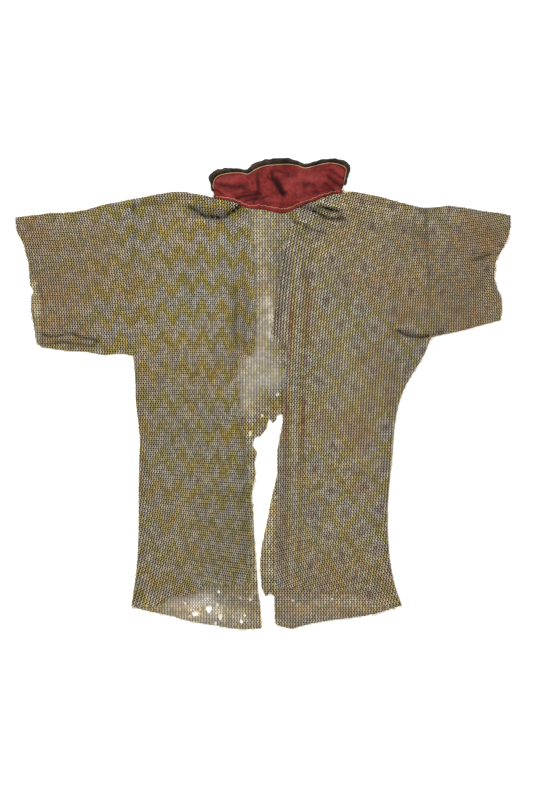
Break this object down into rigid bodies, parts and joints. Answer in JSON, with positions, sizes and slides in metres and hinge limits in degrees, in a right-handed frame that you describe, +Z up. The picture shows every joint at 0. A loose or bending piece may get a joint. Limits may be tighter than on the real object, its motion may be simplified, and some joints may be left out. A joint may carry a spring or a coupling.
{
  "type": "mail shirt laid flat",
  "caption": "Open-fronted shirt of iron and brass ring mail with short sleeves, a padded standing collar and a torn back vent, laid flat on its back.",
  "frame": {"origin": "on the surface the shirt lies on, below the middle of its outline", "axes": "+X towards the wearer's left sleeve, +Y towards the collar, +Z up from the surface, so the camera of the picture looks along -Z"},
  "size_m": [0.8162, 0.778, 0.0092],
  "materials": {
    "mail_back": "small linked iron and brass rings, worn, with rust",
    "mail_zigzag": "small linked rings, iron and brass in a zigzag pattern",
    "mail_lozenge": "small linked rings, iron and brass in a lozenge pattern",
    "collar_velvet": "worn black velvet",
    "collar_lining": "faded red padded cloth with a slight sheen",
    "collar_piping": "twisted yellow and gold cord"
  },
  "bodies": {
    "root": {"back": "mail_back", "front_right": "mail_zigzag", "front_left": "mail_lozenge", "sleeve_right_lower": "mail_back", "sleeve_right_upper": "mail_zigzag", "sleeve_left_lower": "mail_back", "sleeve_left_upper": "mail_lozenge", "collar_outer": "collar_velvet", "collar_lining": "collar_lining", "collar_piping": "collar_piping"}
  },
  "joints": []
}
